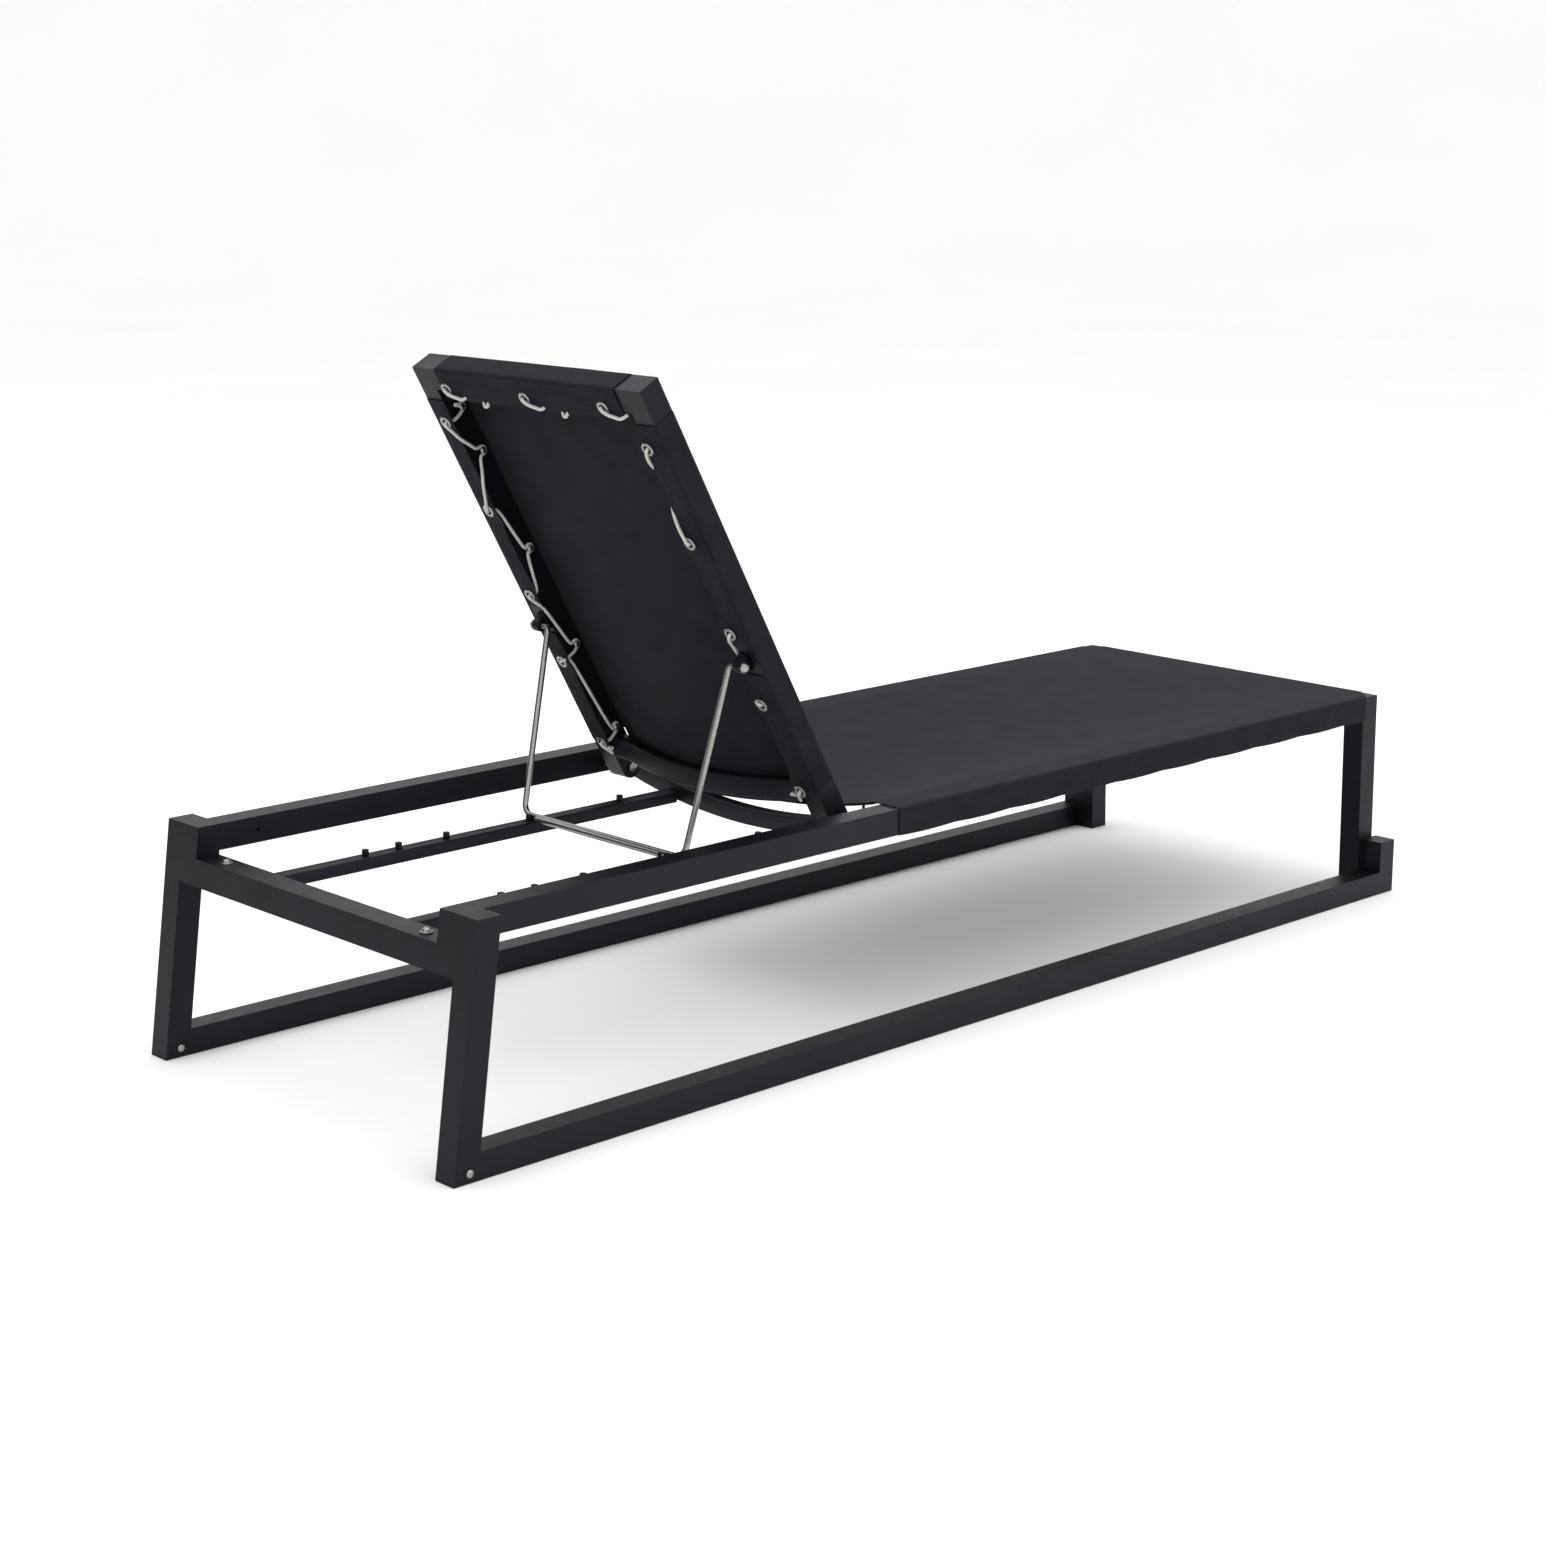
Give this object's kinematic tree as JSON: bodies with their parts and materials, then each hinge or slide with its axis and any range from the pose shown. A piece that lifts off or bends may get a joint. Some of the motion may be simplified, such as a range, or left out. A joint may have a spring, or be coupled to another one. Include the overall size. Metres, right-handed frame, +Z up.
{
  "type": "reclining sun lounger",
  "caption": "Low garden sun lounger with a tubular frame, stretched cloth slings and a hinged backrest held up by a wire prop.",
  "frame": {"origin": "under the middle of the length, at floor level, midway between the sides", "axes": "+X towards the foot end, +Y to the left as seen by someone lying on it, +Z up"},
  "size_m": [2, 0.7098, 0.969],
  "materials": {
    "powder_coat": "satin",
    "stainless": "satin",
    "sling_cloth": "matt",
    "lacing_cord": "matt",
    "tie_cord": "matt"
  },
  "bodies": {
    "base": {"foot_cross_rail": "powder_coat", "head_crossbar": "powder_coat", "seat_rear_bar": "powder_coat", "seat_sling": "sling_cloth", "rear_leg_left": "powder_coat", "floor_runner_left": "powder_coat", "foot_stub_left": "powder_coat", "foot_leg_left": "powder_coat", "side_rail_left": "powder_coat", "peg_bar_left": "powder_coat", "crossbar_bolt_left": "stainless", "leg_bolt_left": "stainless", "hinge_bolt_left": "stainless", "hinge_spacer_left": "powder_coat", "seat_tie_left": "tie_cord", "peg_left_1": "powder_coat", "peg_left_2": "powder_coat", "peg_left_3": "powder_coat", "peg_left_4": "powder_coat", "peg_left_5": "powder_coat", "rear_leg_right": "powder_coat", "floor_runner_right": "powder_coat", "foot_stub_right": "powder_coat", "foot_leg_right": "powder_coat", "side_rail_right": "powder_coat", "peg_bar_right": "powder_coat", "crossbar_bolt_right": "stainless", "leg_bolt_right": "stainless", "hinge_bolt_right": "stainless", "hinge_spacer_right": "powder_coat", "seat_tie_right": "tie_cord", "peg_right_1": "powder_coat", "peg_right_2": "powder_coat", "peg_right_3": "powder_coat", "peg_right_4": "powder_coat", "peg_right_5": "powder_coat"},
    "backrest": {"backrest_top_tube": "powder_coat", "backrest_lower_bar": "powder_coat", "backrest_sling": "sling_cloth", "backrest_lace_top": "lacing_cord", "backrest_side_left": "powder_coat", "prop_lug_left": "powder_coat", "backrest_lace_left": "lacing_cord", "lacing_stud_left_1": "stainless", "lacing_stud_left_2": "stainless", "lacing_stud_left_3": "stainless", "lacing_stud_left_4": "stainless", "lacing_stud_left_5": "stainless", "backrest_side_right": "powder_coat", "prop_lug_right": "powder_coat", "backrest_lace_right": "lacing_cord", "lacing_stud_right_1": "stainless", "lacing_stud_right_2": "stainless", "lacing_stud_right_3": "stainless", "lacing_stud_right_4": "stainless", "lacing_stud_right_5": "stainless"},
    "prop": {"prop_rod": "stainless", "prop_stiffener": "stainless", "prop_nut_left": "stainless", "prop_nut_right": "stainless"}
  },
  "joints": [
    {"name": "backrest_recline", "type": "hinge", "parent": "base", "child": "backrest", "pos_m": [-0.223, 0, 0.318], "axis": [0, 1, 0], "range_deg": [-61.2, 13.8]},
    {"name": "prop_swing", "type": "hinge", "parent": "backrest", "child": "prop", "pos_m": [-0.39162, 0, 0.55829], "axis": [0, 1, 0], "range_deg": [-32.5, 142]}
  ],
  "couplings": [
    {"joint": "prop_swing", "follows": "backrest_recline", "ratio": -2.29}
  ]
}
